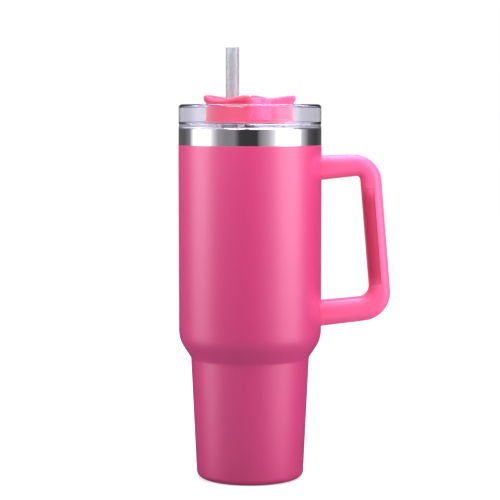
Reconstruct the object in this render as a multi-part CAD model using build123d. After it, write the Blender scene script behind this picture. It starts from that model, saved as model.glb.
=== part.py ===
from build123d import *
import os
from math import cos, radians, sin

# Insulated tumbler with a side handle, a clear lid, a turning cover and a straw.
# Millimetres. The origin is the centre of the foot, +Z is up the vessel axis, +X is towards the handle.

# --- Vessel ---------------------------------------------------------------------------------------
body_radius = 49.7
rim_height = 245.0
shoulder_height = 97.7
shoulder_rounding = 20.0
waist_radius = 41.3
waist_height = 84.75
waist_rounding = 4.0
base_radius = 37.2
base_rounding = 4.5
shell_wall = 0.6
vacuum_gap = 3.0
liner_wall = 0.5
liner_floor_height = 12.0
liner_floor_rounding = 8.0
rim_weld = 3.0
rim_flare = 3.5
rim_rounding = 0.3
foot_radius = 31.5
base_recess = 3.2
seal_dimple_radius = 5.5
seal_bead_radius = 4.5
pump_hole_radius = 1.5
seal_bead_height = 0.8
base_disc_gap = 0.2
base_disc_depth = 1.2
base_disc_chamfer = 0.4
getter_radius = 6.0
getter_height = 2.0

# --- Handle ---------------------------------------------------------------------------------------
handle_drop = 19.1
upper_arm_root = 16.5
lower_arm_root = 17.1
handle_stand = 9.6
outer_top_reach = 40.0
outer_top_rise = 1.2
inner_top_reach = 27.3
inner_top_rise = 3.0
outer_bottom_reach = 49.6
outer_bottom_rise = 6.2
inner_bottom_reach = 34.4
inner_bottom_rise = 3.2
outer_top_rounding = 19.0
outer_bottom_rounding = 20.0
inner_top_rounding = 3.4
inner_bottom_rounding = 7.6
handle_depth = 24.0
handle_edge_rounding = 6.0
wall_rounding_share = 0.44
bar_rounding_share = 0.48
handle_gap = 0.1
grip_share_width = 8.0
grip_end_margin = 9.0
grip_rib_reach = 12.0
grip_rib_margin = 4.5
grip_rib_depth = 9.0
grip_cover = 2.6
grip_gap = 0.12

# --- Handle fixings -------------------------------------------------------------------------------
saddle_width = 15.0
saddle_height = 8.0
saddle_thickness = 1.2
tongue_width = 9.0
tongue_thickness = 3.0
tongue_length = 19.0
screw_reach = 13.0
pocket_gap = 0.2
screw_radius = 2.0
screw_head_radius = 3.5
screw_head_height = 2.2
screw_head_rounding = 0.55
screw_slot_width = 1.0
screw_seat_wall = 1.0
screw_hole_gap = 0.2
plug_thickness = 1.6
plug_depth = 0.3
plug_gap = 0.05
plug_chamfer = 0.3

# --- Lid ------------------------------------------------------------------------------------------
lid_rest_gap = 0.05
lid_height = 16.6
lid_inset = 0.1
lid_wall = 3.2
lid_top_rounding = 2.5
lid_inner_rounding = 0.6
lid_flange = 0.6
lid_floor = 1.9
lid_floor_rounding = 2.0
lid_groove_height = 1.5
lid_groove_depth = 0.35
lid_groove_rounding = 0.15
lid_foot_rounding = 0.3
lid_foot_band = 1.4
skirt_gap = 2.0
skirt_wall = 2.2
skirt_length = 16.0
skirt_root_rounding = 0.8
skirt_end_rounding = 0.6
gasket_height = 5.6
gasket_drop = 8.4
gasket_depth = 1.2
gasket_lip = 1.2
gasket_lip_rounding = 0.45
gasket_body = 1.5
gasket_fit = 0.05

# --- Turning cover and its seal -------------------------------------------------------------------
cover_azimuth = 231.0
lobe_half_angle = 39.0
cover_disc_radius = 31.4
cover_disc = 2.5
cover_lip_radius = 33.3
cover_lip_height = 3.4
cover_flare_height = 2.2
cover_lip_rounding = 2.5
cover_rise = 6.2
cover_wall = 2.2
hub_radius = 11.0
hub_rounding = 6.0
lobe_corner_rounding = 2.5
scoop_margin = 5.0
scoop_depth = 2.4
scoop_pick_margin = 0.14
top_edge_rounding = 1.8
seal_thickness = 0.9
running_gap = 0.05
pivot_radius = 4.0
pivot_end_play = 0.15
washer_radius = 8.0
washer_thickness = 1.1
pivot_screw_radius = 1.75
pivot_head_radius = 4.2
pivot_head_height = 2.2
pivot_head_rounding = 0.55
pivot_slot_length = 6.0
pivot_slot_width = 1.0
pivot_screw_length = 12.0

# --- Straw and openings ---------------------------------------------------------------------------
straw_radius = 4.55
straw_bore_radius = 3.6
straw_offset = 19.1
straw_foot_gap = 2.5
straw_stand = 38.7
straw_edge_rounding = 0.4
straw_hole_gap = 0.7
straw_fit = 0.05
grommet_wall = 2.2
grommet_height = 5.0
sip_angle = 75.0
sip_length = 13.0
sip_width = 8.5
window_gap = 1.3
cover_turn = 80.0

# --- How far a cutting shape runs past the face that it cuts ------------------------------------
cut_margin = 1.0

# --- Worked-out places ----------------------------------------------------------------------------
liner_inset = shell_wall + vacuum_gap
liner_radius = body_radius - liner_inset - liner_wall
liner_floor_top = liner_floor_height + liner_wall
handle_top = rim_height - handle_drop
handle_bottom = shoulder_height + handle_stand
lid_bottom = rim_height + lid_rest_gap
lid_top = lid_bottom + lid_height
lid_radius = body_radius - lid_inset
floor_bottom = lid_bottom + lid_flange
floor_top = floor_bottom + lid_floor
skirt_radius = liner_radius - skirt_gap
skirt_bottom = lid_bottom - skirt_length
gasket_bottom = lid_bottom - gasket_drop - gasket_height
seal_bottom = floor_top + running_gap
seal_top = seal_bottom + seal_thickness
disc_top = seal_top + cover_disc
cover_top = lid_top + cover_rise
pivot_bottom = floor_bottom - pivot_end_play
straw_bottom = liner_floor_top + straw_foot_gap
straw_top = lid_top + straw_stand
grommet_radius = straw_radius + straw_fit + grommet_wall
straw_x = straw_offset * cos(radians(cover_azimuth))
straw_y = straw_offset * sin(radians(cover_azimuth))


def turned(outline):
    """Turn a closed outline of (radius, height, corner rounding) rows about the vessel axis."""
    face = make_face(Polyline(*[(radius, height) for radius, height, _ in outline], close=True))
    for radius, height, rounding in outline:
        if rounding:
            face = fillet(face.vertices().sort_by_distance((radius, height, 0))[0], rounding)
    return revolve(Plane.XZ * face, Axis.Z)


def cylinder(radius, bottom, top, x=0.0, y=0.0):
    """An upright cylinder between two heights."""
    return Pos(x, y, (bottom + top) / 2) * Cylinder(radius, top - bottom)


def block(low, high):
    """A block between two opposite corners."""
    size = [b - a for a, b in zip(low, high)]
    return Pos(*[(a + b) / 2 for a, b in zip(low, high)]) * Box(*size)


def upright(face, bottom, top):
    """A plan outline raised between two heights."""
    return extrude(Pos(0, 0, bottom) * face, top - bottom)


# --- Vessel ---------------------------------------------------------------------------------------
def wall_line(inset):
    """Base, waist, shoulder and rim points of the vessel wall, moved inwards by a distance."""
    wall = [
        Vector(base_radius, 0),
        Vector(waist_radius, waist_height),
        Vector(body_radius, shoulder_height),
        Vector(body_radius, rim_height),
    ]
    runs = [(upper - lower).normalized() for lower, upper in zip(wall, wall[1:])]
    inwards = [Vector(-run.Y, run.X) for run in runs]
    base = Vector(base_radius - inset / abs(inwards[0].X), 0)
    corners = [
        corner + (below + above) * (inset / (1 + below.dot(above)))
        for corner, below, above in zip(wall[1:3], inwards, inwards[1:])
    ]
    rim = Vector(body_radius - inset, rim_height)
    return [base, *corners, rim]


def lower_radius(inset, height):
    """Radius of the lower, tapering wall at a height."""
    base, waist = wall_line(inset)[:2]
    return base.X + (waist.X - base.X) * (height - base.Y) / (waist.Y - base.Y)


def make_outer_shell():
    """Outer steel wall, from the rolled foot to the rim."""
    _, waist, shoulder, _ = wall_line(0)
    _, inner_waist, inner_shoulder, _ = wall_line(shell_wall)
    return turned([
        (foot_radius, 0, 0),
        (base_radius, 0, base_rounding),
        (waist.X, waist.Y, waist_rounding),
        (shoulder.X, shoulder.Y, shoulder_rounding),
        (body_radius, rim_height, rim_rounding),
        (body_radius - shell_wall, rim_height, 0),
        (inner_shoulder.X, inner_shoulder.Y, shoulder_rounding - shell_wall),
        (inner_waist.X, inner_waist.Y, waist_rounding + shell_wall),
        (lower_radius(shell_wall, shell_wall), shell_wall, base_rounding - shell_wall),
        (foot_radius, shell_wall, 0),
    ])


def make_inner_liner():
    """Inner steel wall and floor, flared out at the top to the weld along the rim."""
    floor_in = liner_inset + liner_wall
    _, waist, shoulder, _ = wall_line(liner_inset)
    _, inner_waist, inner_shoulder, _ = wall_line(floor_in)
    weld_radius = body_radius - shell_wall
    weld_bottom = rim_height - rim_weld
    flare_bottom = weld_bottom - rim_flare
    return turned([
        (0, liner_floor_height, 0),
        (lower_radius(liner_inset, liner_floor_height), liner_floor_height, liner_floor_rounding),
        (waist.X, waist.Y, waist_rounding + liner_inset),
        (shoulder.X, shoulder.Y, shoulder_rounding - liner_inset),
        (body_radius - liner_inset, flare_bottom, liner_wall),
        (weld_radius, weld_bottom, liner_wall),
        (weld_radius, rim_height, 0),
        (weld_radius - liner_wall, rim_height, rim_rounding),
        (weld_radius - liner_wall, weld_bottom, liner_wall),
        (liner_radius, flare_bottom, liner_wall),
        (inner_shoulder.X, inner_shoulder.Y, shoulder_rounding - floor_in),
        (inner_waist.X, inner_waist.Y, waist_rounding + floor_in),
        (lower_radius(floor_in, liner_floor_top), liner_floor_top, liner_floor_rounding - liner_wall),
        (0, liner_floor_top, 0),
    ])


def make_vacuum_base():
    """Shallow pan welded into the foot, with a pump hole in its centre."""
    pan = turned([
        (0, base_recess, 0),
        (foot_radius - shell_wall, base_recess, 0),
        (foot_radius - shell_wall, shell_wall / 2, 0),
        (foot_radius, shell_wall / 2, 0),
        (foot_radius, base_recess + shell_wall, shell_wall),
        (0, base_recess + shell_wall, 0),
    ])
    return pan - cylinder(pump_hole_radius, base_recess - cut_margin, base_recess + shell_wall + cut_margin)


def make_vacuum_seal():
    """Solder bead that closes the pump hole."""
    bead = cylinder(seal_bead_radius, base_recess - seal_bead_height, base_recess)
    stem = cylinder(pump_hole_radius, base_recess, base_recess + shell_wall)
    return bead + stem


def make_base_disc():
    """Disc glued under the pan, hollowed for the solder bead."""
    radius = foot_radius - shell_wall - base_disc_gap
    bottom = base_recess - seal_bead_height - base_disc_depth
    disc = cylinder(radius, bottom, base_recess)
    disc = chamfer(disc.edges().group_by(Axis.Z)[0], base_disc_chamfer)
    return disc - cylinder(seal_dimple_radius, base_recess - seal_bead_height, base_recess)


def make_getter():
    """Gas getter held under the liner's floor, in the vacuum."""
    return cylinder(getter_radius, liner_floor_height - getter_height, liner_floor_height)


# --- Handle ---------------------------------------------------------------------------------------
def handle_corners():
    """Corner points (x, z) of the handle's outside and inside, from the upper arm to the lower arm."""
    outside = [
        (body_radius, handle_top),
        (body_radius + outer_top_reach, handle_top + outer_top_rise),
        (body_radius + outer_bottom_reach, handle_bottom + outer_bottom_rise),
        (body_radius, handle_bottom),
    ]
    inside = [
        (body_radius, handle_top - upper_arm_root),
        (body_radius + inner_top_reach, handle_top - upper_arm_root + inner_top_rise),
        (body_radius + inner_bottom_reach, handle_bottom + lower_arm_root + inner_bottom_rise),
        (body_radius, handle_bottom + lower_arm_root),
    ]
    return outside, inside


def continued(root, corner, x):
    """Point at x on the line of an arm's edge, past its root."""
    slope = (corner[1] - root[1]) / (corner[0] - root[0])
    return (x, root[1] + slope * (x - root[0]))


def handle_blank():
    """The whole handle as one rounded bar, its arms cut to the vessel's curve."""
    outside, inside = handle_corners()
    buried = body_radius - handle_depth / 2
    outline = [
        (continued(outside[0], outside[1], buried), 0),
        (outside[1], outer_top_rounding),
        (outside[2], outer_bottom_rounding),
        (continued(outside[3], outside[2], buried), 0),
        (continued(inside[3], inside[2], buried), 0),
        (inside[2], inner_bottom_rounding),
        (inside[1], inner_top_rounding),
        (continued(inside[0], inside[1], buried), 0),
    ]
    face = make_face(Polyline(*[point for point, _ in outline], close=True))
    for point, rounding in outline:
        if rounding:
            face = fillet(face.vertices().sort_by_distance((*point, 0))[0], rounding)
    bar = extrude(Plane.XZ * face, handle_depth / 2, both=True)
    rims = bar.edges().group_by(Axis.Y)
    long_edges = rims[0] + rims[-1]
    rounding = min(
        handle_edge_rounding,
        wall_rounding_share * (upper_arm_root + outer_top_rise - inner_top_rise),
        wall_rounding_share * (lower_arm_root + inner_bottom_rise - outer_bottom_rise),
        bar_rounding_share * (outer_top_reach - inner_top_reach),
        bar_rounding_share * (outer_bottom_reach - inner_bottom_reach),
    )
    bar = fillet(long_edges.filter_by(lambda edge: edge.center().X > buried + cut_margin), rounding)
    return bar - cylinder(body_radius + handle_gap, handle_bottom - handle_depth, handle_top + handle_depth)


def grip_zone(inner, outer, margin, depth):
    """Block along the inside of the bar, from inner to outer distance off its inner face."""
    _, inside = handle_corners()
    top = Vector(*inside[1])
    bottom = Vector(*inside[2])
    along = (top - bottom).normalized()
    across = Vector(along.Y, -along.X)
    start = bottom + along * margin
    end = top - along * margin
    corners = [start + across * inner, start + across * outer, end + across * outer, end + across * inner]
    face = make_face(Polyline(*[(corner.X, corner.Y) for corner in corners], close=True))
    return extrude(Plane.XZ * face, depth / 2, both=True)


def fixing_heights():
    """Underside height at the screw and bracket height, for the upper and the lower arm."""
    outside, inside = handle_corners()
    screw_x = body_radius + screw_reach
    upper_underside = continued(inside[0], inside[1], screw_x)[1]
    lower_underside = continued(outside[3], outside[2], screw_x)[1]
    arms = [
        (upper_underside, handle_top - upper_arm_root / 2),
        (lower_underside, handle_bottom + lower_arm_root / 2),
    ]
    return [
        (underside, max(middle, screw_seat(underside) + screw_seat_wall + tongue_thickness / 2))
        for underside, middle in arms
    ]


def make_bracket(height):
    """Saddle welded to the shell, with a tongue that runs into the handle's arm."""
    bottom = height - saddle_height / 2
    top = height + saddle_height / 2
    saddle = cylinder(body_radius + saddle_thickness, bottom, top) - cylinder(body_radius, bottom, top)
    saddle &= block((0, -saddle_width / 2, bottom), (body_radius + saddle_thickness, saddle_width / 2, top))
    tongue = block(
        (body_radius + saddle_thickness / 2, -tongue_width / 2, height - tongue_thickness / 2),
        (body_radius + tongue_length, tongue_width / 2, height + tongue_thickness / 2),
    )
    screw_x = body_radius + screw_reach
    return saddle + tongue - cylinder(screw_radius, height - tongue_thickness, height + tongue_thickness, screw_x)


def bracket_pocket(height):
    """Room in the arm for a bracket."""
    plate_half = saddle_height / 2 + pocket_gap
    tongue_half = tongue_thickness / 2 + pocket_gap
    plate = block(
        (0, -saddle_width / 2 - pocket_gap, height - plate_half),
        (body_radius + saddle_thickness + pocket_gap, saddle_width / 2 + pocket_gap, height + plate_half),
    )
    slot = block(
        (0, -tongue_width / 2 - pocket_gap, height - tongue_half),
        (body_radius + tongue_length + pocket_gap, tongue_width / 2 + pocket_gap, height + tongue_half),
    )
    return plate + slot


def screw_seat(underside):
    """Height of the face that the screw's head pulls against."""
    return underside + plug_depth + plug_thickness + screw_head_height


def make_screw(underside, height):
    """Pan-head screw that goes up through the arm's lower wall into the tongue."""
    x = body_radius + screw_reach
    seat = screw_seat(underside)
    head = cylinder(screw_head_radius, seat - screw_head_height, seat, x)
    head = fillet(head.edges().group_by(Axis.Z)[0], screw_head_rounding)
    slot = Pos(x, 0, seat - screw_head_height) * Box(2 * screw_radius, screw_slot_width, screw_head_height)
    shank = cylinder(screw_radius, seat, height + tongue_thickness / 2, x)
    return head + shank - slot


def make_plug(underside):
    """Plug that hides a screw's head."""
    bottom = underside + plug_depth
    radius = screw_head_radius + screw_hole_gap - plug_gap
    plug = cylinder(radius, bottom, bottom + plug_thickness, body_radius + screw_reach)
    return chamfer(plug.edges().group_by(Axis.Z)[0], plug_chamfer)


def screw_room(underside, height):
    """Counterbore and clearance hole for a screw, from the arm's underside up to the tongue."""
    x = body_radius + screw_reach
    bottom = underside - handle_depth / 4
    bore = cylinder(screw_head_radius + screw_hole_gap, bottom, screw_seat(underside), x)
    return bore + cylinder(screw_radius + screw_hole_gap, underside, height + tongue_thickness, x)


def make_handle_parts():
    """Moulded frame, and the soft grip around the rib on the inside of its bar."""
    blank = handle_blank()
    zone = grip_zone(-handle_depth, grip_share_width, grip_end_margin, 2 * handle_depth)
    grip_room = grip_zone(
        -handle_depth,
        grip_share_width - grip_gap,
        grip_end_margin + grip_gap,
        2 * handle_depth,
    )
    rib = grip_zone(grip_cover, grip_rib_reach, grip_rib_margin, grip_rib_depth)
    room_depth = grip_rib_depth + 2 * grip_gap
    rib_room = grip_zone(grip_cover - grip_gap, grip_rib_reach, grip_rib_margin, room_depth)
    frame = (blank - zone) + (blank & rib)
    for underside, height in fixing_heights():
        frame -= bracket_pocket(height)
        frame -= screw_room(underside, height)
    grip = (blank & grip_room) - rib_room
    return frame, grip


# --- Lid ------------------------------------------------------------------------------------------
def arc_slot(width, start, sweep, bottom, top):
    """Upright round-ended slot along the circle that the straw's centre follows."""
    path = CenterArc((0, 0), straw_offset, start, sweep)
    return upright(SlotArc(path, width), bottom, top)


def make_lid_body():
    """Clear dish with a wall, a floor, a skirt for the mouth and a window for straw and sipping."""
    groove_bottom = lid_bottom + lid_foot_band
    groove_top = groove_bottom + lid_groove_height
    groove_radius = lid_radius - lid_groove_depth
    gasket_radius = skirt_radius - gasket_depth
    gasket_top = gasket_bottom + gasket_height
    lid = turned([
        (0, floor_bottom, 0),
        (skirt_radius - skirt_wall, floor_bottom, skirt_root_rounding),
        (skirt_radius - skirt_wall, skirt_bottom, skirt_end_rounding),
        (skirt_radius, skirt_bottom, skirt_end_rounding),
        (skirt_radius, gasket_bottom, 0),
        (gasket_radius, gasket_bottom, 0),
        (gasket_radius, gasket_top, 0),
        (skirt_radius, gasket_top, 0),
        (skirt_radius, lid_bottom, skirt_root_rounding),
        (lid_radius, lid_bottom, lid_foot_rounding),
        (lid_radius, groove_bottom, lid_groove_rounding),
        (groove_radius, groove_bottom, lid_groove_rounding),
        (groove_radius, groove_top, lid_groove_rounding),
        (lid_radius, groove_top, lid_groove_rounding),
        (lid_radius, lid_top, lid_top_rounding),
        (lid_radius - lid_wall, lid_top, lid_inner_rounding),
        (lid_radius - lid_wall, floor_top, lid_floor_rounding),
        (0, floor_top, 0),
    ])
    window_width = 2 * (straw_radius + window_gap)
    cut_bottom = floor_bottom - cut_margin
    cut_top = floor_top + cut_margin
    lid -= arc_slot(window_width, cover_azimuth, cover_turn, cut_bottom, cut_top)
    return lid - cylinder(pivot_radius + running_gap, cut_bottom, cut_top)


def make_lid_gasket():
    """Silicone ring in the skirt's groove, with two lips that wipe the liner."""
    inner = skirt_radius - gasket_depth
    root = inner + gasket_body
    tip = liner_radius - gasket_fit
    top = gasket_bottom + gasket_height
    ring = turned([(inner, gasket_bottom, 0), (root, gasket_bottom, 0), (root, top, 0), (inner, top, 0)])
    for lip_top in (gasket_bottom + gasket_lip, top):
        lip_bottom = lip_top - gasket_lip
        ring += turned([
            (inner + gasket_body / 2, lip_bottom, 0),
            (tip, lip_bottom, gasket_lip_rounding),
            (tip, lip_top, gasket_lip_rounding),
            (inner + gasket_body / 2, lip_top, 0),
        ])
    return ring


# --- Turning cover --------------------------------------------------------------------------------
def bow_tie(shrink=0.0):
    """Plan of the cover's two lobes and hub, with its wall moved inwards by a distance."""
    radius = cover_lip_radius + cover_wall
    plan = Circle(hub_radius)
    for side in (0, 180):
        rays = [cover_azimuth + side + turn for turn in (-lobe_half_angle, lobe_half_angle)]
        far = [(2 * radius * cos(radians(ray)), 2 * radius * sin(radians(ray))) for ray in rays]
        wedge = make_face(Polyline((0, 0), *far, close=True))
        plan += wedge & Circle(radius)
    waist_corners = plan.vertices().filter_by(lambda vertex: off_axis(vertex) < hub_radius + cut_margin)
    plan = fillet(waist_corners, hub_rounding)
    return offset(plan, -shrink) if shrink else plan


def off_axis(place):
    """Distance of a point from the vessel axis."""
    return Vector(place.X, place.Y).length


def is_steep(edge):
    """Whether an edge climbs more than it runs."""
    rise = edge.tangent_at().Z
    return 2 * rise ** 2 > 1


def make_cover_grip():
    """Solid two-lobed grip: flared lips, a scoop along its top and rounded edges."""
    flare_top = cover_top - cover_lip_height
    envelope = turned([
        (0, seal_top, 0),
        (cover_disc_radius, seal_top, 0),
        (cover_disc_radius, flare_top - cover_flare_height, cover_lip_rounding),
        (cover_lip_radius, flare_top, cover_lip_rounding),
        (cover_lip_radius, cover_top, 0),
        (0, cover_top, 0),
    ])
    scoop_half_width = cover_lip_radius * sin(radians(lobe_half_angle)) - scoop_margin
    scoop_radius = (scoop_half_width ** 2 + scoop_depth ** 2) / (2 * scoop_depth)
    scoop = Rot(0, 0, cover_azimuth) * Pos(0, 0, cover_top - scoop_depth + scoop_radius) * Rot(0, 90, 0)
    grip = upright(bow_tie(), seal_top, cover_top) & envelope
    grip -= scoop * Cylinder(scoop_radius, 4 * body_radius)
    lobe_corners = grip.edges().filter_by(
        lambda edge: off_axis(edge.center()) > cover_disc_radius - cover_wall and is_steep(edge)
    )
    grip = fillet(lobe_corners, lobe_corner_rounding)
    lowest = cover_top - scoop_depth - scoop_pick_margin
    top_edges = grip.edges().filter_by(lambda edge: edge.bounding_box().min.Z > lowest)
    return fillet(top_edges, top_edge_rounding)


def make_cover_hollow():
    """Room under the grip, around the straw's boss and the pivot's boss."""
    top = cover_top - scoop_depth - cover_wall
    hollow = upright(bow_tie(cover_wall), seal_top, top)
    hollow &= cylinder(cover_disc_radius - cover_wall, seal_top, top)
    hollow -= cylinder(grommet_radius + cover_wall, seal_top, top, straw_x, straw_y)
    return hollow - cylinder(pivot_radius + cover_wall, seal_top, top)


def make_rotating_cover():
    """Disc with the hollow grip, the straw's boss, the pivot and the sip hole."""
    cover = cylinder(cover_disc_radius, seal_top, disc_top) + make_cover_grip()
    cover -= make_cover_hollow()
    cover += cylinder(pivot_radius, pivot_bottom, seal_top)
    cover -= cylinder(grommet_radius, seal_top, seal_top + grommet_height, straw_x, straw_y)
    cover -= cylinder(straw_radius + straw_hole_gap, seal_top, cover_top + cut_margin, straw_x, straw_y)
    cover -= cylinder(pivot_screw_radius, pivot_bottom, pivot_bottom + pivot_screw_length)
    return cover - sip_hole(seal_top - cut_margin, disc_top + cut_margin)


def sip_hole(bottom, top):
    """Round-ended hole that meets the lid's window when the cover is turned to sip."""
    half_sweep = Vector(straw_offset, 0).get_angle(Vector(straw_offset, (sip_length - sip_width) / 2))
    return arc_slot(sip_width, cover_azimuth - sip_angle - half_sweep, 2 * half_sweep, bottom, top)


def make_cover_seal():
    """Silicone disc under the cover, with holes for the pivot, the straw and sipping."""
    seal = cylinder(cover_disc_radius, seal_bottom, seal_top)
    seal -= cylinder(pivot_radius, seal_bottom, seal_top)
    seal -= cylinder(straw_radius + straw_fit, seal_bottom, seal_top, straw_x, straw_y)
    return seal - sip_hole(seal_bottom, seal_top)


def make_straw_grommet():
    """Silicone ring in the cover's boss that holds the straw."""
    bore = straw_radius + straw_fit
    ring = cylinder(grommet_radius, seal_top, seal_top + grommet_height, straw_x, straw_y)
    return ring - cylinder(bore, seal_top, seal_top + grommet_height, straw_x, straw_y)


def make_pivot_washer():
    """Washer under the lid's floor, clamped to the pivot's end."""
    bottom = pivot_bottom - washer_thickness
    washer = cylinder(washer_radius, bottom, pivot_bottom)
    return washer - cylinder(pivot_screw_radius + screw_hole_gap, bottom, pivot_bottom)


def make_pivot_screw():
    """Screw that clamps the washer and so keeps the cover on the lid."""
    seat = pivot_bottom - washer_thickness
    head = cylinder(pivot_head_radius, seat - pivot_head_height, seat)
    head = fillet(head.edges().group_by(Axis.Z)[0], pivot_head_rounding)
    slot = Pos(0, 0, seat - pivot_head_height) * Box(pivot_slot_length, pivot_slot_width, pivot_head_height)
    shank = cylinder(pivot_screw_radius, seat, pivot_bottom + pivot_screw_length)
    return head + shank - slot


def make_straw():
    """Straight translucent tube that stands in the grommet."""
    wall = straw_radius - straw_bore_radius
    rounding = min(straw_edge_rounding, wall_rounding_share * wall)
    tube = turned([
        (straw_bore_radius, straw_bottom, rounding),
        (straw_radius, straw_bottom, rounding),
        (straw_radius, straw_top, rounding),
        (straw_bore_radius, straw_top, rounding),
    ])
    return Pos(straw_x, straw_y, 0) * tube


def make_parts():
    """Every sub-part by node name."""
    frame, grip = make_handle_parts()
    upper, lower = fixing_heights()
    return {
        "outer_shell": make_outer_shell(),
        "inner_liner": make_inner_liner(),
        "vacuum_base": make_vacuum_base(),
        "vacuum_seal": make_vacuum_seal(),
        "getter": make_getter(),
        "base_disc": make_base_disc(),
        "upper_bracket": make_bracket(upper[1]),
        "lower_bracket": make_bracket(lower[1]),
        "handle_frame": frame,
        "handle_grip": grip,
        "handle_screws": Compound([make_screw(*arm).solid() for arm in (upper, lower)]),
        "screw_plugs": Compound([make_plug(arm[0]).solid() for arm in (upper, lower)]),
        "lid_body": make_lid_body(),
        "lid_gasket": make_lid_gasket(),
        "rotating_cover": make_rotating_cover(),
        "cover_seal": make_cover_seal(),
        "straw_grommet": make_straw_grommet(),
        "pivot_washer": make_pivot_washer(),
        "pivot_screw": make_pivot_screw(),
        "straw": make_straw(),
    }


os.makedirs("parts", exist_ok=True)
for name, part in make_parts().items():
    export_step(part, f"parts/{name}.step")
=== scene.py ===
"""Insulated tumbler with a side handle, a clear lid, a turning cover and a straw.

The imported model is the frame: it gives every solid its place. This script gives each solid its finish, lays
the powder coat over the steel and sets up a plain studio round the tumbler. Lengths are in metres unless a
name ends in mm. Angles in fields and arguments are in degrees.
"""
import logging
import math
from dataclasses import dataclass, field
from enum import Enum

import bmesh
import bpy
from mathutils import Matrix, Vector


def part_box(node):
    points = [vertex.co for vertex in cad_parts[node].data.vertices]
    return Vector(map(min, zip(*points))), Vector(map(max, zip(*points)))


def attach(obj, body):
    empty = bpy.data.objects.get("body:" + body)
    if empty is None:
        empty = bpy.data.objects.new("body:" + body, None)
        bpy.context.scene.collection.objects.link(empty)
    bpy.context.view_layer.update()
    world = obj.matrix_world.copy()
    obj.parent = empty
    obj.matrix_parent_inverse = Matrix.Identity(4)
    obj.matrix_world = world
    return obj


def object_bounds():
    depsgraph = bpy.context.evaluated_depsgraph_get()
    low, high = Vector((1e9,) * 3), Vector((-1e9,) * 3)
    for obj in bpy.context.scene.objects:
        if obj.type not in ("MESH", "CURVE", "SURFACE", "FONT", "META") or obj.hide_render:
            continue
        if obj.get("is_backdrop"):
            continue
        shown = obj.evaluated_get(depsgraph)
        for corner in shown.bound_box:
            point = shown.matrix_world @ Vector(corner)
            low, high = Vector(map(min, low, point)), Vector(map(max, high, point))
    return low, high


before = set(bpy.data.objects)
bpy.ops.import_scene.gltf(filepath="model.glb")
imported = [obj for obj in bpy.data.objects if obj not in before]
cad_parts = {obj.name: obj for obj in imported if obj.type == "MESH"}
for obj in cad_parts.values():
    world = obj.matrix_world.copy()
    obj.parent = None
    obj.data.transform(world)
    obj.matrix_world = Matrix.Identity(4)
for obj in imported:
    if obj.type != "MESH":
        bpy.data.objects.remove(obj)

MM = 0.001
WHITE = "#FFFFFF"
# Share of its strength that each finer layer of noise keeps.
NOISE_ROUGHNESS = 0.55
# The Mix node has sockets for every kind of value. These are the numbers of its colour sockets.
MIX_BELOW = 6
MIX_ABOVE = 7
MIX_RESULT = 2
log = logging.getLogger("tumbler")

Colour = tuple[float, float, float, float]
Outline = list[tuple[float, float, float]]
Socket = bpy.types.NodeSocket
# What may feed a node's input: another node's output, a number or a colour.
Feed = Socket | float | Colour


class Body(Enum):
    """The bodies that move on their own."""

    VESSEL = "vessel"
    LID = "lid"
    COVER = "cover"
    STRAW = "drinking_straw"


class Grain(Enum):
    """Which way a surface's fine lines run: how much finer the pattern is along X, Y and Z."""

    NONE = (1.0, 1.0, 1.0)
    AROUND = (1.0, 1.0, 40.0)


# --- Colour, nodes and meshes ---------------------------------------------------------------------
def linear(code: str) -> Colour:
    """Turns an sRGB hex colour into linear light.

    Args:
        code: Six hex digits, with or without a leading hash.

    Returns:
        Red, green, blue and an alpha of one.
    """
    digits = code.lstrip("#")
    shares = [int(digits[i:i + 2], 16) / 255 for i in (0, 2, 4)]
    red, green, blue = (s / 12.92 if s <= 0.04045 else ((s + 0.055) / 1.055) ** 2.4 for s in shares)
    return (red, green, blue, 1.0)


def add_node(
    tree: bpy.types.NodeTree, kind: str, inputs: dict[str | int, Feed] | None = None, **settings: object,
) -> bpy.types.Node:
    """Adds a node with its settings and links.

    Args:
        tree: The tree that gets the node.
        kind: Blender's name for the node's type.
        inputs: Input name or number to what feeds it, which is an output socket or a value.
        settings: Input values by name with underscores for spaces, or the node's own properties.

    Returns:
        The new node.
    """
    node = tree.nodes.new(kind)
    for name, value in settings.items():
        socket = node.inputs.get(name.replace("_", " "))
        if socket is None:
            setattr(node, name, value)
        else:
            socket.default_value = value
    for name, feed in (inputs or {}).items():
        if isinstance(feed, Socket):
            tree.links.new(feed, node.inputs[name])
        else:
            node.inputs[name].default_value = feed
    return node


def new_tree(owner: bpy.types.Material | bpy.types.World) -> bpy.types.NodeTree:
    """Turns on a material's or a world's nodes and clears them.

    Args:
        owner: The material or the world.

    Returns:
        Its empty tree.
    """
    owner.use_nodes = True
    owner.node_tree.nodes.clear()
    return owner.node_tree


def rounded(corners: Outline, steps: int = 6) -> list[tuple[float, float]]:
    """Rounds a closed outline's corners with arcs.

    Args:
        corners: Radius, height and rounding of each corner, in order.
        steps: Spans in each arc.

    Returns:
        Points along the rounded outline.
    """
    points = []
    for index, (radius, height, rounding) in enumerate(corners):
        here = Vector((radius, height))
        if rounding <= 0:
            points.append((here.x, here.y))
            continue
        before = (Vector(corners[index - 1][:2]) - here).normalized()
        after = (Vector(corners[(index + 1) % len(corners)][:2]) - here).normalized()
        half = before.angle(after) / 2
        middle = here + (before + after).normalized() * (rounding / math.sin(half))
        start = here + before * (rounding / math.tan(half)) - middle
        sweep = start.angle_signed(here + after * (rounding / math.tan(half)) - middle)
        for step in range(steps + 1):
            turn = -sweep * step / steps
            x = start.x * math.cos(turn) - start.y * math.sin(turn)
            y = start.x * math.sin(turn) + start.y * math.cos(turn)
            points.append((middle.x + x, middle.y + y))
    return points


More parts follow.
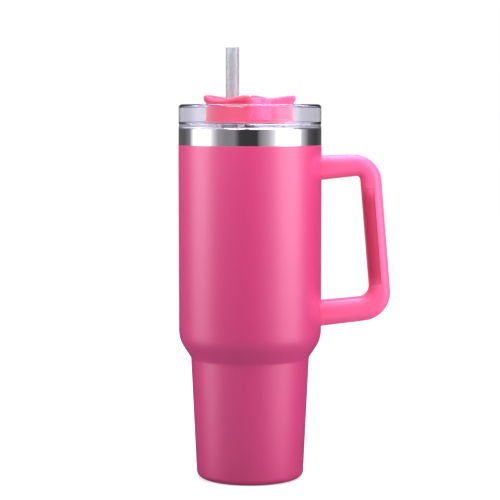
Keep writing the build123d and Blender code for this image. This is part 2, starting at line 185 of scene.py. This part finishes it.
def make_mesh(name: str, shape: bmesh.types.BMesh, sharp_degrees: float = 35.0) -> bpy.types.Object:
    """Makes an object from a bmesh, smooth apart from its sharp edges.

    Args:
        name: The object's name.
        shape: The mesh, which is freed.
        sharp_degrees: Edges that turn more than this stay sharp.

    Returns:
        The new object, linked to the scene.
    """
    bmesh.ops.recalc_face_normals(shape, faces=shape.faces)
    mesh = bpy.data.meshes.new(name)
    shape.to_mesh(mesh)
    shape.free()
    mesh.polygons.foreach_set("use_smooth", [True] * len(mesh.polygons))
    mesh.set_sharp_from_angle(angle=math.radians(sharp_degrees))
    piece = bpy.data.objects.new(name, mesh)
    bpy.context.scene.collection.objects.link(piece)
    return piece


def turn_on_lathe(name: str, corners: Outline, segments: int = 160) -> bpy.types.Object:
    """Turns a closed outline about the vertical axis into a solid of revolution.

    Args:
        name: The object's name.
        corners: Radius, height and rounding of each corner.
        segments: Faces round the axis.

    Returns:
        The new object.
    """
    shape = bmesh.new()
    outline = rounded(corners)
    rings = []
    for segment in range(segments):
        angle = 2 * math.pi * segment / segments
        ring = [shape.verts.new((r * math.cos(angle), r * math.sin(angle), z)) for r, z in outline]
        rings.append(ring)
    for ring, following in zip(rings, rings[1:] + rings[:1]):
        for point in range(len(outline)):
            after = (point + 1) % len(outline)
            shape.faces.new((ring[point], following[point], following[after], ring[after]))
    return make_mesh(name, shape)


# --- Finishes -------------------------------------------------------------------------------------
@dataclass(frozen=True)
class Finish:
    """A surface finish: what every finish shares."""

    name: str
    colour: str
    roughness: float
    ior: float = 1.5

    def material(self) -> bpy.types.Material:
        """Builds the material, which every kind of finish does in its own way."""
        raise NotImplementedError(self.name)

    def start(self, **settings: object) -> tuple[bpy.types.Material, bpy.types.Node]:
        """Makes the material with its shader.

        Args:
            settings: More values for the shader's sockets.

        Returns:
            The material and its shader node.
        """
        material = bpy.data.materials.new(self.name)
        tree = new_tree(material)
        shader = add_node(
            tree, "ShaderNodeBsdfPrincipled", Base_Color=linear(self.colour), IOR=self.ior, **settings,
        )
        add_node(tree, "ShaderNodeOutputMaterial", {"Surface": shader.outputs["BSDF"]})
        return material, shader

    def pattern(
        self, tree: bpy.types.NodeTree, size_mm: float, stretch: Grain = Grain.NONE, detail: float = 3.0,
    ) -> Socket:
        """Adds noise whose cells have a real size.

        Args:
            tree: The material's tree.
            size_mm: Width of one cell.
            stretch: Which way the cells are drawn out.
            detail: Finer layers of the noise.

        Returns:
            The noise's value.
        """
        place = add_node(tree, "ShaderNodeTexCoord")
        scale = add_node(tree, "ShaderNodeMapping", {"Vector": place.outputs["Object"]}, Scale=stretch.value)
        noise = add_node(
            tree, "ShaderNodeTexNoise", {"Vector": scale.outputs["Vector"]},
            Scale=1 / (size_mm * MM), Detail=detail, Roughness=NOISE_ROUGHNESS,
        )
        return noise.outputs["Fac"]

    def engrave(self, shader: bpy.types.Node, height: Socket, wander: float, depth_mm: float) -> None:
        """Gives the surface a pattern: a bump of a real depth, and a roughness that follows it.

        Args:
            shader: The shader that gets it.
            height: The pattern.
            wander: How far the roughness goes each way.
            depth_mm: From the pattern's lowest to its highest, or nought for no bump.
        """
        tree = shader.id_data
        rough = add_node(
            tree, "ShaderNodeMapRange", {"Value": height},
            To_Min=max(0.0, self.roughness - wander), To_Max=self.roughness + wander,
        )
        tree.links.new(rough.outputs["Result"], shader.inputs["Roughness"])
        if depth_mm:
            bump = add_node(tree, "ShaderNodeBump", {"Height": height}, Strength=1.0, Distance=depth_mm * MM)
            tree.links.new(bump.outputs["Normal"], shader.inputs["Normal"])

    def drift(self, tree: bpy.types.NodeTree, size_mm: float, lighter: str) -> Socket:
        """Lets the colour drift slowly between the finish's own and a lighter one.

        Args:
            tree: The material's tree.
            size_mm: Width of one drift.
            lighter: Hex colour of the lighter places.

        Returns:
            The colour.
        """
        ramp = add_node(tree, "ShaderNodeValToRGB", {"Fac": self.pattern(tree, size_mm, detail=1.0)})
        for stop, code in zip(ramp.color_ramp.elements, (self.colour, lighter)):
            stop.color = linear(code)
        return ramp.outputs["Color"]


@dataclass(frozen=True)
class PowderCoat(Finish):
    """Polyester powder, sprayed and baked: satin, with a very fine orange peel."""

    lighter: str = WHITE
    # The real peel is about 0.3 mm across. It is drawn three times as coarse so that it shows.
    peel_mm: float = 0.9
    peel_depth_mm: float = 0.012
    wander: float = 0.05
    drift_mm: float = 40.0
    gloss_weight: float = 0.4
    gloss_roughness: float = 0.32

    def material(self) -> bpy.types.Material:
        """Builds the coat.

        Returns:
            The material.
        """
        material, shader = self.start(Coat_Weight=self.gloss_weight, Coat_Roughness=self.gloss_roughness)
        tree = material.node_tree
        tree.links.new(self.drift(tree, self.drift_mm, self.lighter), shader.inputs["Base Color"])
        self.engrave(shader, self.pattern(tree, self.peel_mm), self.wander, self.peel_depth_mm)
        return material


@dataclass(frozen=True)
class Metal(Finish):
    """Bare metal with lines left by polishing or brushing."""

    line_mm: float = 0.4
    line_depth_mm: float = 0.0
    wander: float = 0.04
    # Lines run round the axis, as they do when the part turns against the polishing wheel.
    lines: Grain = Grain.AROUND

    def material(self) -> bpy.types.Material:
        """Builds the metal.

        Returns:
            The material.
        """
        material, shader = self.start(Metallic=1.0)
        length_mm = self.line_mm * max(self.lines.value)
        streaks = self.pattern(material.node_tree, length_mm, self.lines)
        self.engrave(shader, streaks, self.wander, self.line_depth_mm)
        return material


@dataclass(frozen=True)
class Moulded(Finish):
    """Moulded thermoplastic: even colour, light scatter under the skin and a finely eroded mould grain."""

    lighter: str = WHITE
    grain_mm: float = 0.8
    grain_depth_mm: float = 0.008
    wander: float = 0.04
    flow_mm: float = 25.0
    scatter: float = 0.0
    scatter_mm: float = 2.0
    # Red light goes furthest through pink plastic, then blue, then green.
    scatter_shares: tuple[float, float, float] = (1.0, 0.45, 0.6)
    sheen: float = 0.0
    sheen_roughness: float = 0.5

    def skin(self, tree: bpy.types.NodeTree) -> Socket:
        """The colour of the surface, which drifts as the plastic flowed into the mould."""
        return self.drift(tree, self.flow_mm, self.lighter)

    def material(self) -> bpy.types.Material:
        """Builds the plastic.

        Returns:
            The material.
        """
        material, shader = self.start(
            Subsurface_Weight=self.scatter,
            Subsurface_Radius=self.scatter_shares,
            Subsurface_Scale=self.scatter_mm * MM,
            Sheen_Weight=self.sheen,
            Sheen_Roughness=self.sheen_roughness,
        )
        tree = material.node_tree
        tree.links.new(self.skin(tree), shader.inputs["Base Color"])
        self.engrave(shader, self.pattern(tree, self.grain_mm), self.wander, self.grain_depth_mm)
        return material


@dataclass(frozen=True)
class SoftTouch(Moulded):
    """Moulded elastomer with painted shade: a deeper colour between two heights stands in for the bar's
    shaded inner side.
    """

    # Painted shade: a deeper colour between these heights stands in for the shade and pink bounce light on
    # the bar's inner side.
    painted_shade: str = "#CC3259"
    painted_shade_bottom: float = 131.0 * MM
    painted_shade_top: float = 207.0 * MM
    fade: float = 14.0 * MM

    def skin(self, tree: bpy.types.NodeTree) -> Socket:
        """Lays a painted shade, a deeper colour, over the elastomer's own, fading out towards both ends.

        Args:
            tree: The material's tree.

        Returns:
            The colour of the surface.
        """
        place = add_node(tree, "ShaderNodeTexCoord")
        parts = add_node(tree, "ShaderNodeSeparateXYZ", {"Vector": place.outputs["Object"]})
        fades = []
        for end, inwards in ((self.painted_shade_bottom, self.fade), (self.painted_shade_top, -self.fade)):
            fade = add_node(
                tree, "ShaderNodeMapRange", {"Value": parts.outputs["Z"]}, interpolation_type="SMOOTHSTEP",
                From_Min=end, From_Max=end + inwards,
            )
            fades.append(fade.outputs["Result"])
        share = add_node(tree, "ShaderNodeMath", dict(enumerate(fades)), operation="MULTIPLY")
        # Mixes the painted shade over the elastomer's own colour.
        mix = add_node(
            tree, "ShaderNodeMix",
            {"Factor": share.outputs["Value"], MIX_BELOW: super().skin(tree), MIX_ABOVE: linear(self.painted_shade)},
            data_type="RGBA",
        )
        return mix.outputs[MIX_RESULT]


@dataclass(frozen=True)
class Clear(Finish):
    """See-through plastic or silicone. Moulded walls are never flat: slow ripples bend what shows."""

    through: float = 1.0
    ripple_mm: float = 12.0
    ripple_depth_mm: float = 0.01
    wander: float = 0.02
    scatter: float = 0.0
    scatter_mm: float = 1.5
    scatter_shares: tuple[float, float, float] = (1.0, 1.0, 1.0)

    def material(self) -> bpy.types.Material:
        """Builds the see-through material.

        Returns:
            The material.
        """
        material, shader = self.start(
            Transmission_Weight=self.through,
            Subsurface_Weight=self.scatter,
            Subsurface_Radius=self.scatter_shares,
            Subsurface_Scale=self.scatter_mm * MM,
        )
        ripple = self.pattern(material.node_tree, self.ripple_mm, detail=1.0)
        self.engrave(shader, ripple, self.wander, self.ripple_depth_mm)
        return material


# Polyester powder coat, satin pink: soft, wide highlights down both sides.
POWDER = PowderCoat("powder_coat_pink", "#D23B72", 0.35, lighter="#D64077", ior=1.6)
# 304 stainless steel, polished at the rim: mirror-like, with faint lines round it.
POLISHED = Metal("stainless_polished", "#CFCDCB", 0.10, line_mm=0.5, wander=0.03)
# The same steel brushed inside and under the foot: a broad, soft shine.
BRUSHED = Metal("stainless_brushed", "#BDBBB8", 0.30, line_mm=0.25, line_depth_mm=0.004, wander=0.06)
# Zinc-plated screws: small cool glints.
PLATED = Metal("steel_plated", "#C8C8CC", 0.22, line_mm=0.3, lines=Grain.NONE)
# Tin solder: dull grey and lumpy.
SOLDER = Metal("tin_solder", "#9A9A9C", 0.45, line_mm=1.5, line_depth_mm=0.05, wander=0.1, lines=Grain.NONE)
# Sintered getter metal: dark, matte and grainy.
SINTERED = Metal(
    "getter_sintered", "#6A6866", 0.65, line_mm=0.4, line_depth_mm=0.03, wander=0.1, lines=Grain.NONE,
)
# Polypropylene handle: semi-gloss and coloured through, so its edges glow a little.
HANDLE = Moulded("polypropylene_handle", "#FB6290", 0.34, lighter="#FC6694", scatter=0.1)
# Soft elastomer over the inside of the bar: duller than the frame. Its deeper middle is painted shade for the
# bar's inner side, which faces the vessel.
GRIP = SoftTouch(
    "elastomer_grip", "#F85C88", 0.50, lighter="#FA608C", grain_mm=0.6, grain_depth_mm=0.015, sheen=0.15,
)
# Polypropylene cover: glossier than the handle, and light gathers in its thin walls.
COVER = Moulded("polypropylene_cover", "#FA5072", 0.24, lighter="#FD567A", scatter=0.25, scatter_mm=3.0)
# Polypropylene foot disc: the same plastic with a matte mould grain.
FOOT = Moulded("polypropylene_foot", "#DD4583", 0.6, lighter="#E14A88", grain_depth_mm=0.02)
# Acetal washer: white and waxy.
ACETAL = Moulded("acetal_washer", "#EDECE6", 0.35, lighter="#F2F1EC", ior=1.48, scatter=0.2)
# Clear copolyester lid: like glass, with crisp bent reflections.
COPOLYESTER = Clear("copolyester_clear", "#F1F0F6", 0.03, ior=1.57)
# Frosted polypropylene straw: a milky tube, greyer where its wall is seen edge on.
STRAW = Clear("polypropylene_straw", "#E1E3E2", 0.22, ior=1.49, through=0.8, ripple_mm=6.0, scatter=0.2)
# Silicone seals: milky, with no sharp highlight.
SILICONE = Clear("silicone_milky", "#E9E8EE", 0.45, ior=1.41, through=0.45, ripple_mm=3.0, scatter=0.4)


def made(finish: Finish) -> bpy.types.Material:
    """The finish's material, built once."""
    return bpy.data.materials.get(finish.name) or finish.material()


def dress(node: str, finish: Finish) -> None:
    """Gives a solid from the frame its finish.

    Args:
        node: The solid's name.
        finish: What it is finished in.
    """
    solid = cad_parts[node]
    solid.data.materials.clear()
    solid.data.materials.append(made(finish))


# --- Sub-assemblies -------------------------------------------------------------------------------
@dataclass
class Assembly:
    """Pieces on one body that keep their solids' shapes and get a finish each."""

    body: Body
    finishes: dict[str, Finish]

    def build(self) -> None:
        """Dresses the pieces."""
        for node, finish in self.finishes.items():
            dress(node, finish)
            log.info("%s: dressed %s in %s", self.body.value, node, finish.name)


@dataclass
class Vessel(Assembly):
    """Double-wall steel vessel with its powder coat."""

    body: Body = Body.VESSEL
    finishes: dict[str, Finish] = field(default_factory=lambda: {
        "outer_shell": POLISHED,
        "inner_liner": BRUSHED,
        "vacuum_base": BRUSHED,
        "vacuum_seal": SOLDER,
        "getter": SINTERED,
        "base_disc": FOOT,
    })
    coat_top: float = 233.5 * MM
    coat_thickness: float = 0.15 * MM
    coat_under_foot: float = 0.03 * MM
    coat_edge_rounding: float = 0.12 * MM
    base_radius: float = 37.2 * MM
    base_rounding: float = 4.5 * MM
    waist_radius: float = 41.3 * MM
    waist_height: float = 84.75 * MM
    waist_rounding: float = 4.0 * MM
    shoulder_height: float = 97.7 * MM
    shoulder_rounding: float = 20.0 * MM
    foot_edge: float = 31.5 * MM

    def outline(self) -> Outline:
        """Draws the coat, hugging the steel from its top edge down to the foot and back up outside.

        Returns:
            Radius, height and rounding of each corner.
        """
        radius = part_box("outer_shell")[1].y
        skin = self.coat_thickness
        return [
            (radius, self.coat_top, 0.0),
            (radius, self.shoulder_height, self.shoulder_rounding),
            (self.waist_radius, self.waist_height, self.waist_rounding),
            (self.base_radius, 0.0, self.base_rounding),
            (self.foot_edge, 0.0, 0.0),
            (self.foot_edge, -self.coat_under_foot, 0.0),
            (self.base_radius + skin, -self.coat_under_foot, self.base_rounding + skin),
            (self.waist_radius + skin, self.waist_height, self.waist_rounding - skin),
            (radius + skin, self.shoulder_height, self.shoulder_rounding + skin),
            (radius + skin, self.coat_top, self.coat_edge_rounding),
        ]

    def build(self) -> None:
        """Dresses the steel and lays the coat over it."""
        super().build()
        coat = turn_on_lathe("powder_coat", self.outline())
        coat.data.materials.append(made(POWDER))
        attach(coat, self.body.value)
        log.info("%s: laid powder_coat, %d faces", self.body.value, len(coat.data.polygons))


@dataclass
class Handle(Assembly):
    """Moulded handle, its grip and what holds it on."""

    body: Body = Body.VESSEL
    finishes: dict[str, Finish] = field(default_factory=lambda: {
        "handle_frame": HANDLE,
        "handle_grip": GRIP,
        "screw_plugs": GRIP,
        "handle_screws": PLATED,
        "upper_bracket": BRUSHED,
        "lower_bracket": BRUSHED,
    })


@dataclass
class Lid(Assembly):
    """Clear lid with its gasket."""

    body: Body = Body.LID
    finishes: dict[str, Finish] = field(default_factory=lambda: {
        "lid_body": COPOLYESTER,
        "lid_gasket": SILICONE,
    })

    def build(self) -> None:
        """Dresses the lid's pieces. Light passes the clear body, so it casts no shadow."""
        super().build()
        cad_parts["lid_body"].visible_shadow = False


@dataclass
class Cover(Assembly):
    """Turning cover with its seals and pivot."""

    body: Body = Body.COVER
    finishes: dict[str, Finish] = field(default_factory=lambda: {
        "rotating_cover": COVER,
        "cover_seal": SILICONE,
        "straw_grommet": SILICONE,
        "pivot_washer": ACETAL,
        "pivot_screw": PLATED,
    })


@dataclass
class Straw(Assembly):
    """Drinking straw."""

    body: Body = Body.STRAW
    finishes: dict[str, Finish] = field(default_factory=lambda: {"straw": STRAW})


# --- Studio ---------------------------------------------------------------------------------------
def hang(
    light: bpy.types.Light, aim: Vector, azimuth: float, elevation: float, distance: float,
) -> bpy.types.Object:
    """Hangs a light where it faces a point.

    Args:
        light: The light.
        aim: The point.
        azimuth: Which side it comes from, counted from the front, positive to the right.
        elevation: How far above level it comes from.
        distance: From the light to the point.

    Returns:
        The lamp, which the camera can't see.
    """
    lamp = bpy.data.objects.new(light.name, light)
    bpy.context.scene.collection.objects.link(lamp)
    turn, lift = math.radians(azimuth), math.radians(elevation)
    back = Vector((math.sin(turn) * math.cos(lift), -math.cos(turn) * math.cos(lift), math.sin(lift)))
    lamp.location = aim + back * distance
    lamp.rotation_euler = (-back).to_track_quat("-Z", "Y").to_euler()
    lamp.visible_camera = False
    return lamp


@dataclass(frozen=True)
class Softbox:
    """A rectangular light of even radiance that faces the tumbler's axis."""

    name: str
    azimuth: float
    elevation: float
    distance: float
    width: float
    height: float
    radiance: float
    tint: str = WHITE
    aim_height: float = 0.163

    def build(self) -> None:
        """Hangs the light."""
        light = bpy.data.lights.new(self.name, "AREA")
        light.shape = "RECTANGLE"
        light.size = self.width
        light.size_y = self.height
        light.energy = self.radiance * math.pi * self.width * self.height
        light.color = linear(self.tint)[:3]
        hang(light, Vector((0, 0, self.aim_height)), self.azimuth, self.elevation, self.distance)


@dataclass(frozen=True)
class Snoot:
    """A narrow soft-edged lamp, sized and measured at its aim, that leaves no reflection of itself."""

    name: str
    azimuth: float
    elevation: float
    distance: float
    aim: tuple[float, float, float]
    beam_radius: float
    irradiance: float
    tint: str = WHITE
    softness: float = 0.8
    lamp_radius: float = 0.02

    def build(self) -> None:
        """Hangs the lamp."""
        light = bpy.data.lights.new(self.name, "SPOT")
        light.spot_size = 2 * math.atan(self.beam_radius / self.distance)
        light.spot_blend = self.softness
        light.shadow_soft_size = self.lamp_radius
        light.energy = self.irradiance * 4 * math.pi * self.distance ** 2
        light.color = linear(self.tint)[:3]
        lamp = hang(light, Vector(self.aim), self.azimuth, self.elevation, self.distance)
        lamp.visible_glossy = False


@dataclass(frozen=True)
class LightTent:
    """Round wall of diffusing cloth with lamps behind it: bright at both sides, dark in front.

    It goes on below the floor, which mirrors don't see, so that the lower body mirrors it down to the foot.
    """

    radius: float = 0.5
    bottom: float = -0.15
    top: float = 0.7
    # The cloth reaches its full glow at this height, and at the floor it has this share of it.
    full_height: float = 0.22
    foot_share: float = 0.46
    peak: float = 4.3
    tint: str = "#F4F2FF"
    # Share of the peak by azimuth, counted from the front and positive to the right.
    glow: tuple[tuple[float, float], ...] = (
        (-180, 0.035), (-126, 0.035), (-108, 0.08), (-96, 0.50), (-88, 0.80), (-72, 0.85), (-60, 0.30),
        (-50, 0.12), (-36, 0.085), (-24, 0.09), (-16, 0.017), (11, 0.014), (14, 0.075), (28, 0.17),
        (38, 0.32), (48, 0.85), (76, 1.05), (87, 0.22), (104, 0.035), (124, 0.016), (150, 0.03), (180, 0.035),
    )
    segments: int = 96

    def build(self) -> None:
        """Raises the tent and gives it its glow."""
        shape = bmesh.new()
        rings = []
        for height in (self.bottom, self.top):
            ring = []
            for segment in range(self.segments):
                turn = 2 * math.pi * segment / self.segments
                place = (self.radius * math.sin(turn), -self.radius * math.cos(turn), height)
                ring.append(shape.verts.new(place))
            rings.append(ring)
        lower, upper = rings
        for index in range(self.segments):
            after = (index + 1) % self.segments
            shape.faces.new((lower[index], upper[index], upper[after], lower[after]))
        tent = make_mesh("light_tent", shape)
        tent.data.materials.append(self.cloth())
        tent.visible_camera = False
        tent.visible_transmission = False
        tent.visible_shadow = False
        tent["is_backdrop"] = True

    def cloth(self) -> bpy.types.Material:
        """Weaves the glowing cloth.

        Returns:
            The material.
        """
        material = bpy.data.materials.new("tent_cloth")
        tree = new_tree(material)
        place = add_node(tree, "ShaderNodeTexCoord")
        parts = add_node(tree, "ShaderNodeSeparateXYZ", {"Vector": place.outputs["Object"]})
        front = add_node(tree, "ShaderNodeMath", {0: parts.outputs["Y"], 1: -1.0}, operation="MULTIPLY")
        turn = add_node(
            tree, "ShaderNodeMath", {0: parts.outputs["X"], 1: front.outputs["Value"]}, operation="ARCTAN2",
        )
        around = add_node(
            tree, "ShaderNodeMapRange", {"Value": turn.outputs["Value"]}, From_Min=-math.pi, From_Max=math.pi,
        )
        ramp = add_node(tree, "ShaderNodeValToRGB", {"Fac": around.outputs["Result"]})
        stops = ramp.color_ramp.elements
        # Every added stop starts in the middle, and then all of them go to their places in order.
        while len(stops) < len(self.glow):
            stops.new(0.5)
        for stop, (azimuth, level) in zip(stops, self.glow):
            stop.position = (azimuth + 180) / 360
            stop.color = [level * share for share in linear(self.tint)[:3]] + [1.0]
        rise = add_node(
            tree, "ShaderNodeMapRange", {"Value": parts.outputs["Z"]},
            From_Max=self.full_height, To_Min=self.foot_share * self.peak, To_Max=self.peak,
        )
        light = add_node(
            tree, "ShaderNodeEmission", {"Color": ramp.outputs["Color"], "Strength": rise.outputs["Result"]},
        )
        add_node(tree, "ShaderNodeOutputMaterial", {"Surface": light.outputs["Emission"]})
        return material


@dataclass
class Studio:
    """Pale floor, light tent, softboxes, a narrow lamp on the cover, surroundings and camera."""

    camera_place: tuple[float, float, float] = (0.0, -1.240, 0.2605)
    camera_aim: tuple[float, float, float] = (0.0, 0.0, 0.160)
    lens_mm: float = 128.0
    floor_colour: str = "#B4B3B6"
    floor_radius: float = 3.0
    floor_segments: int = 96
    floor_gap: float = 0.1 * MM
    # The floor's own glow rises from the first level to the second between these two distances.
    floor_near: float = 0.10
    floor_far: float = 0.55
    floor_levels: tuple[float, float] = (0.62, 1.0)
    surroundings: float = 0.07
    through_lid: str = "#DBDAE0"
    tent: LightTent = LightTent()
    softboxes: tuple[Softbox, ...] = (
        Softbox("softbox_high", 25.0, 60.0, 0.8, 0.6, 0.4, 3.0, tint="#EEE9FF"),
        Softbox("softbox_lid", -25.0, 35.0, 0.35, 0.14, 0.12, 9.0, aim_height=0.258),
        Softbox("softbox_top", 160.0, 84.0, 0.9, 0.8, 0.6, 6.0, tint="#E6E0FF"),
        Softbox("softbox_back", 172.0, 46.0, 0.8, 0.9, 0.5, 8.0, tint="#DEDAFF"),
    )
    snoot: Snoot = Snoot(
        "snoot_cover", 66.0, 22.0, 0.5,
        aim=(0.012, 0.0, 0.255), beam_radius=0.022, irradiance=11.0, tint="#F2E4FF",
    )

    def build(self) -> None:
        """Sets the whole studio up."""
        self.lay_floor()
        self.light_surroundings()
        self.tent.build()
        for softbox in self.softboxes:
            softbox.build()
        self.snoot.build()
        self.place_camera()
        bpy.context.scene.view_settings.view_transform = "Standard"

    def lay_floor(self) -> None:
        """Lays a round white floor that glows more the further it lies from the tumbler."""
        shape = bmesh.new()
        bmesh.ops.create_circle(shape, cap_ends=True, segments=self.floor_segments, radius=self.floor_radius)
        floor = make_mesh("floor", shape)
        floor.location.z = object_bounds()[0].z - self.floor_gap
        material = bpy.data.materials.new("studio_floor")
        tree = new_tree(material)
        matte = add_node(tree, "ShaderNodeBsdfDiffuse", Color=linear(self.floor_colour))
        place = add_node(tree, "ShaderNodeTexCoord")
        reach = add_node(tree, "ShaderNodeVectorMath", {0: place.outputs["Object"]}, operation="LENGTH")
        near_level, far_level = self.floor_levels
        rise = add_node(
            tree, "ShaderNodeMapRange", {"Value": reach.outputs["Value"]},
            From_Min=self.floor_near, From_Max=self.floor_far, To_Min=near_level, To_Max=far_level,
        )
        glow = add_node(tree, "ShaderNodeEmission", {"Strength": rise.outputs["Result"]})
        both = add_node(tree, "ShaderNodeAddShader", {0: matte.outputs["BSDF"], 1: glow.outputs["Emission"]})
        ray = add_node(tree, "ShaderNodeLightPath")
        seen = add_node(tree, "ShaderNodeMixShader", {
            0: ray.outputs["Is Camera Ray"],
            1: matte.outputs["BSDF"],
            2: both.outputs["Shader"],
        })
        add_node(tree, "ShaderNodeOutputMaterial", {"Surface": seen.outputs["Shader"]})
        floor.data.materials.append(material)
        floor.visible_glossy = False
        floor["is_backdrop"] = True

    def light_surroundings(self) -> None:
        """Makes the surroundings white to the eye, pale through the lid, and dim to what mirrors them."""
        world = bpy.data.worlds.new("surroundings")
        tree = new_tree(world)
        dim = add_node(tree, "ShaderNodeBackground", Color=linear(WHITE), Strength=self.surroundings)
        white = add_node(tree, "ShaderNodeBackground", Color=linear(WHITE))
        pale = add_node(tree, "ShaderNodeBackground", Color=linear(self.through_lid))
        ray = add_node(tree, "ShaderNodeLightPath")
        unseen = add_node(tree, "ShaderNodeMixShader", {
            0: ray.outputs["Is Transmission Ray"],
            1: dim.outputs["Background"],
            2: pale.outputs["Background"],
        })
        seen = add_node(tree, "ShaderNodeMixShader", {
            0: ray.outputs["Is Camera Ray"],
            1: unseen.outputs["Shader"],
            2: white.outputs["Background"],
        })
        add_node(tree, "ShaderNodeOutputWorld", {"Surface": seen.outputs["Shader"]})
        bpy.context.scene.world = world

    def place_camera(self) -> None:
        """Places the camera a little above the rim, looking slightly down."""
        camera = bpy.data.objects.new("camera", bpy.data.cameras.new("camera"))
        bpy.context.scene.collection.objects.link(camera)
        camera.location = self.camera_place
        sight = Vector(self.camera_aim) - camera.location
        camera.rotation_euler = sight.to_track_quat("-Z", "Y").to_euler()
        camera.data.lens = self.lens_mm
        bpy.context.scene.camera = camera


def main() -> None:
    """Builds every sub-assembly and the studio."""
    logging.basicConfig(level=logging.INFO, format="%(name)s: %(message)s")
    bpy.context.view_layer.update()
    for assembly in (Vessel(), Handle(), Lid(), Cover(), Straw()):
        assembly.build()
    Studio().build()


if __name__ == "__main__":
    main()
